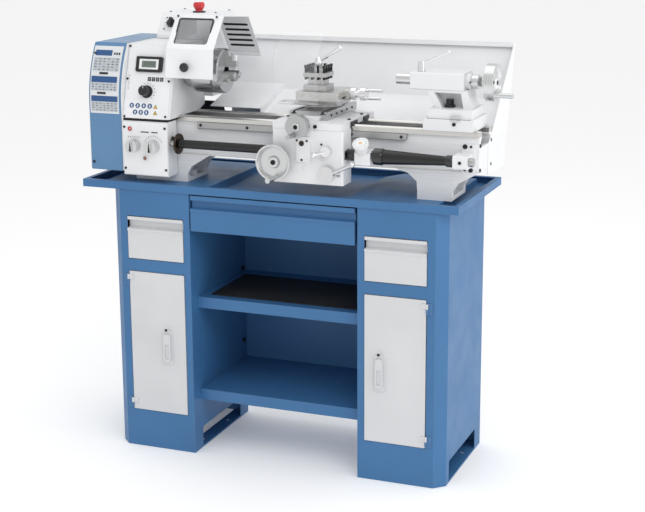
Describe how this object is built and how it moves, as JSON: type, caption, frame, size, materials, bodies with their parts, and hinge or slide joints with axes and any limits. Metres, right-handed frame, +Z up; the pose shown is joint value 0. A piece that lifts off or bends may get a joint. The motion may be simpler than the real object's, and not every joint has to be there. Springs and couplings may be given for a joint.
{
  "type": "metal lathe on cabinet stand",
  "caption": "Bench metal lathe with chuck guard, carriage, tailstock and splash guard, standing on a steel cabinet stand with drawers, doors and an open shelf bay.",
  "frame": {"origin": "under the middle of the bounding box, on the floor", "axes": "+X towards the tailstock, +Y towards the back, +Z up"},
  "size_m": [1.241, 0.514, 1.29],
  "materials": {
    "stand_blue": "satin",
    "drawer_grey": "satin",
    "casting_white": "satin",
    "cover_blue": "satin",
    "bright_steel": "satin",
    "chrome": "polished",
    "black_oxide": "satin",
    "black_rubber": "matte",
    "black_plastic": "matte",
    "red_plastic": "gloss",
    "clear_plastic": "clear",
    "wheel_aluminium": "brushed"
  },
  "bodies": {
    "frame": {"left_pedestal": "stand_blue", "right_pedestal": "stand_blue", "chip_tray": "stand_blue", "stand_shelves": "stand_blue", "shelf_mat": "black_rubber", "stand_fittings": "black_oxide", "bed": "casting_white", "bed_fittings": "bright_steel", "headstock_casting": "casting_white", "front_panels": "casting_white", "electrical_cabinet": "casting_white", "feed_gearbox": "casting_white", "drive_motor": "black_oxide", "drive_belt": "black_rubber", "splash_guard": "casting_white", "leadscrew_cover_left": "black_oxide", "leadscrew_cover_right": "black_oxide"},
    "left_door": {"left_door": "drawer_grey"},
    "right_door": {"right_door": "drawer_grey"},
    "left_latch": {"left_latch": "drawer_grey"},
    "right_latch": {"right_latch": "drawer_grey"},
    "left_drawer": {"left_drawer": "drawer_grey"},
    "right_drawer": {"right_drawer": "drawer_grey"},
    "centre_drawer": {"centre_drawer": "stand_blue"},
    "end_cover": {"end_cover": "cover_blue"},
    "spindle": {"spindle": "bright_steel", "chuck_body": "chrome"},
    "chuck_jaw_1": {"chuck_jaw_1": "bright_steel"},
    "chuck_jaw_2": {"chuck_jaw_2": "bright_steel"},
    "chuck_jaw_3": {"chuck_jaw_3": "bright_steel"},
    "motor_pulley": {"motor_pulley": "bright_steel"},
    "idler_gear_1": {"idler_gear_1": "bright_steel"},
    "idler_gear_2": {"idler_gear_2": "bright_steel"},
    "feed_input": {"feed_input_gear": "bright_steel"},
    "leadscrew": {"leadscrew": "bright_steel"},
    "chuck_guard": {"chuck_guard": "casting_white"},
    "stop_button": {"stop_button": "red_plastic"},
    "power_switch": {"power_switch": "black_plastic"},
    "speed_knob": {"speed_knob": "black_plastic"},
    "direction_knob": {"direction_knob": "wheel_aluminium"},
    "feed_knob": {"feed_knob": "wheel_aluminium"},
    "carriage": {"saddle": "casting_white", "apron": "casting_white"},
    "carriage_handwheel": {"carriage_handwheel": "wheel_aluminium"},
    "cross_slide": {"cross_slide": "bright_steel"},
    "cross_slide_wheel": {"cross_slide_wheel": "wheel_aluminium"},
    "compound": {"compound_base": "bright_steel"},
    "top_slide": {"top_slide": "bright_steel"},
    "top_slide_crank": {"top_slide_crank": "chrome"},
    "tool_post": {"tool_post": "bright_steel"},
    "tool_post_lever": {"tool_post_lever": "chrome"},
    "tool_shield": {"tool_shield": "clear_plastic"},
    "half_nut_lever": {"half_nut_lever": "chrome"},
    "feed_lever": {"feed_lever": "chrome"},
    "threading_dial": {"threading_dial": "casting_white"},
    "tailstock": {"tailstock_casting": "casting_white"},
    "tailstock_clamp": {"tailstock_clamp": "black_oxide"},
    "quill": {"quill": "bright_steel"},
    "tailstock_wheel": {"tailstock_wheel": "wheel_aluminium"},
    "quill_lock_lever": {"quill_lock_lever": "chrome"}
  },
  "joints": [
    {"name": "left_door_hinge", "type": "hinge", "parent": "frame", "child": "left_door", "pos_m": [-0.4825, -0.17851, 0.32], "axis": [0, 0, -1], "range_deg": [0, 105]},
    {"name": "right_door_hinge", "type": "hinge", "parent": "frame", "child": "right_door", "pos_m": [0.4255, -0.17851, 0.32], "axis": [0, 0, 1], "range_deg": [0, 105]},
    {"name": "left_latch_turn", "type": "hinge", "parent": "left_door", "child": "left_latch", "pos_m": [-0.36, -0.17101, 0.345], "axis": [0, -1, 0], "range_deg": [0, 90]},
    {"name": "right_latch_turn", "type": "hinge", "parent": "right_door", "child": "right_latch", "pos_m": [0.291, -0.17101, 0.345], "axis": [0, 1, 0], "range_deg": [0, 90]},
    {"name": "left_drawer_slide", "type": "slide", "parent": "frame", "child": "left_drawer", "axis": [0, -1, 0], "range_m": [0, 0.25]},
    {"name": "right_drawer_slide", "type": "slide", "parent": "frame", "child": "right_drawer", "axis": [0, -1, 0], "range_m": [0, 0.25]},
    {"name": "centre_drawer_slide", "type": "slide", "parent": "frame", "child": "centre_drawer", "axis": [0, -1, 0], "range_m": [0, 0.25]},
    {"name": "end_cover_hinge", "type": "hinge", "parent": "frame", "child": "end_cover", "pos_m": [-0.4965, 0.16049, 1], "axis": [0, 0, -1], "range_deg": [0, 90]},
    {"name": "spindle_spin", "type": "hinge", "parent": "frame", "child": "spindle", "pos_m": [-0.4155, -0.03801, 1.1125], "axis": [1, 0, 0], "continuous": true},
    {"name": "chuck_jaw_1_slide", "type": "slide", "parent": "spindle", "child": "chuck_jaw_1", "axis": [0, 0, 1], "range_m": [-0.005, 0.012]},
    {"name": "chuck_jaw_2_slide", "type": "slide", "parent": "spindle", "child": "chuck_jaw_2", "axis": [0, -0.866, -0.5], "range_m": [-0.005, 0.012]},
    {"name": "chuck_jaw_3_slide", "type": "slide", "parent": "spindle", "child": "chuck_jaw_3", "axis": [0, 0.866, -0.5], "range_m": [-0.005, 0.012]},
    {"name": "motor_spin", "type": "hinge", "parent": "frame", "child": "motor_pulley", "pos_m": [-0.5055, 0.11399, 0.945], "axis": [1, 0, 0], "continuous": true},
    {"name": "idler_1_spin", "type": "hinge", "parent": "frame", "child": "idler_gear_1", "pos_m": [-0.5185, -0.04806, 1.03062], "axis": [1, 0, 0], "continuous": true},
    {"name": "idler_2_spin", "type": "hinge", "parent": "frame", "child": "idler_gear_2", "pos_m": [-0.5185, -0.0782, 0.93789], "axis": [1, 0, 0], "continuous": true},
    {"name": "feed_input_spin", "type": "hinge", "parent": "frame", "child": "feed_input", "pos_m": [-0.5055, -0.12101, 0.88], "axis": [1, 0, 0], "continuous": true},
    {"name": "leadscrew_spin", "type": "hinge", "parent": "frame", "child": "leadscrew", "pos_m": [-0.0555, -0.14301, 0.914], "axis": [1, 0, 0], "continuous": true},
    {"name": "chuck_guard_hinge", "type": "hinge", "parent": "frame", "child": "chuck_guard", "pos_m": [-0.2555, 0.18299, 1.138], "axis": [-1, 0, 0], "range_deg": [0, 60]},
    {"name": "stop_button_press", "type": "slide", "parent": "frame", "child": "stop_button", "axis": [0, 0, -1], "range_m": [0, 0.005], "stiffness_N_per_m": 300},
    {"name": "power_switch_turn", "type": "hinge", "parent": "frame", "child": "power_switch", "pos_m": [-0.4535, 0.08199, 1.2285], "axis": [0, -0.8076, 0.5897], "range_deg": [0, 90]},
    {"name": "speed_knob_turn", "type": "hinge", "parent": "frame", "child": "speed_knob", "pos_m": [-0.4215, -0.14149, 1.057], "axis": [0, -0.9653, 0.2612], "range_deg": [-135, 135]},
    {"name": "direction_knob_turn", "type": "hinge", "parent": "frame", "child": "direction_knob", "pos_m": [-0.4545, -0.16101, 0.905], "axis": [0, -1, 0], "range_deg": [-60, 60]},
    {"name": "feed_knob_turn", "type": "hinge", "parent": "frame", "child": "feed_knob", "pos_m": [-0.3945, -0.16101, 0.905], "axis": [0, -1, 0], "range_deg": [-60, 60]},
    {"name": "carriage_wheel_turn", "type": "hinge", "parent": "carriage", "child": "carriage_handwheel", "pos_m": [-0.0065, -0.19101, 0.892], "axis": [0, -1, 0], "range_deg": [-2808, 2178]},
    {"name": "carriage_slide", "type": "slide", "parent": "frame", "child": "carriage", "axis": [1, 0, 0], "range_m": [-0.155, 0.12], "deforming": ["leadscrew_cover_left", "leadscrew_cover_right"]},
    {"name": "cross_wheel_turn", "type": "hinge", "parent": "carriage", "child": "cross_slide_wheel", "pos_m": [0.0675, -0.19101, 0.995], "axis": [0, -1, 0], "range_deg": [-4095, 765]},
    {"name": "cross_slide_travel", "type": "slide", "parent": "carriage", "child": "cross_slide", "axis": [0, 1, 0], "range_m": [-0.045, 0.008]},
    {"name": "compound_swivel", "type": "hinge", "parent": "cross_slide", "child": "compound", "pos_m": [0.067, -0.00901, 1.03], "axis": [0, 0, 1], "range_deg": [-10, 45]},
    {"name": "top_slide_crank_turn", "type": "hinge", "parent": "top_slide", "child": "top_slide_crank", "pos_m": [0.1645, -0.02301, 1.063], "axis": [1, 0, 0], "range_deg": [-2295, 1845]},
    {"name": "top_slide_travel", "type": "slide", "parent": "compound", "child": "top_slide", "axis": [1, 0, 0], "range_m": [-0.025, 0.02]},
    {"name": "tool_post_index", "type": "hinge", "parent": "top_slide", "child": "tool_post", "pos_m": [0.0605, -0.03801, 1.1], "axis": [0, 0, 1], "continuous": true},
    {"name": "tool_post_lever_turn", "type": "hinge", "parent": "top_slide", "child": "tool_post_lever", "pos_m": [0.0605, -0.03801, 1.14], "axis": [0, 0, 1], "range_deg": [-20, 70]},
    {"name": "tool_shield_hinge", "type": "hinge", "parent": "compound", "child": "tool_shield", "pos_m": [0.0245, -0.09501, 1.038], "axis": [1, 0, 0], "range_deg": [0, 75]},
    {"name": "half_nut_turn", "type": "hinge", "parent": "carriage", "child": "half_nut_lever", "pos_m": [0.1415, -0.18101, 0.866], "axis": [0, 1, 0], "range_deg": [0, 40]},
    {"name": "feed_lever_turn", "type": "hinge", "parent": "carriage", "child": "feed_lever", "pos_m": [0.1395, -0.18101, 0.927], "axis": [0, 1, 0], "range_deg": [-30, 30]},
    {"name": "threading_dial_spin", "type": "hinge", "parent": "carriage", "child": "threading_dial", "pos_m": [0.2325, -0.16701, 0.946], "axis": [0, -0.5547, 0.8321], "continuous": true},
    {"name": "tailstock_slide", "type": "slide", "parent": "frame", "child": "tailstock", "axis": [1, 0, 0], "range_m": [-0.12, 0.01]},
    {"name": "tailstock_clamp_turn", "type": "hinge", "parent": "tailstock", "child": "tailstock_clamp", "pos_m": [0.4445, -0.05501, 1.05], "axis": [0, 0, 1], "range_deg": [0, 60]},
    {"name": "tailstock_wheel_turn", "type": "hinge", "parent": "tailstock", "child": "tailstock_wheel", "pos_m": [0.5445, -0.03801, 1.1125], "axis": [1, 0, 0], "range_deg": [-2520, 3150]},
    {"name": "quill_travel", "type": "slide", "parent": "tailstock", "child": "quill", "axis": [-1, 0, 0], "range_m": [-0.0285, 0.0355]},
    {"name": "quill_lock_turn", "type": "hinge", "parent": "tailstock", "child": "quill_lock_lever", "pos_m": [0.3655, -0.05901, 1.15], "axis": [0, 0, 1], "range_deg": [-20, 90]}
  ],
  "couplings": [
    {"joint": "chuck_jaw_2_slide", "follows": "chuck_jaw_1_slide", "ratio": 1},
    {"joint": "chuck_jaw_3_slide", "follows": "chuck_jaw_1_slide", "ratio": 1},
    {"joint": "motor_spin", "follows": "spindle_spin", "ratio": 1.8182},
    {"joint": "idler_1_spin", "follows": "spindle_spin", "ratio": -0.57143},
    {"joint": "idler_2_spin", "follows": "spindle_spin", "ratio": 0.66667},
    {"joint": "feed_input_spin", "follows": "spindle_spin", "ratio": -1.1111},
    {"joint": "leadscrew_spin", "follows": "spindle_spin", "ratio": 0.1},
    {"joint": "carriage_wheel_turn", "follows": "carriage_slide", "rad_per_m": 314.16},
    {"joint": "cross_wheel_turn", "follows": "cross_slide_travel", "rad_per_m": 1570.8},
    {"joint": "top_slide_crank_turn", "follows": "top_slide_travel", "rad_per_m": 1570.8},
    {"joint": "quill_travel", "follows": "tailstock_wheel_turn", "m_per_rad": 0.00063662}
  ]
}
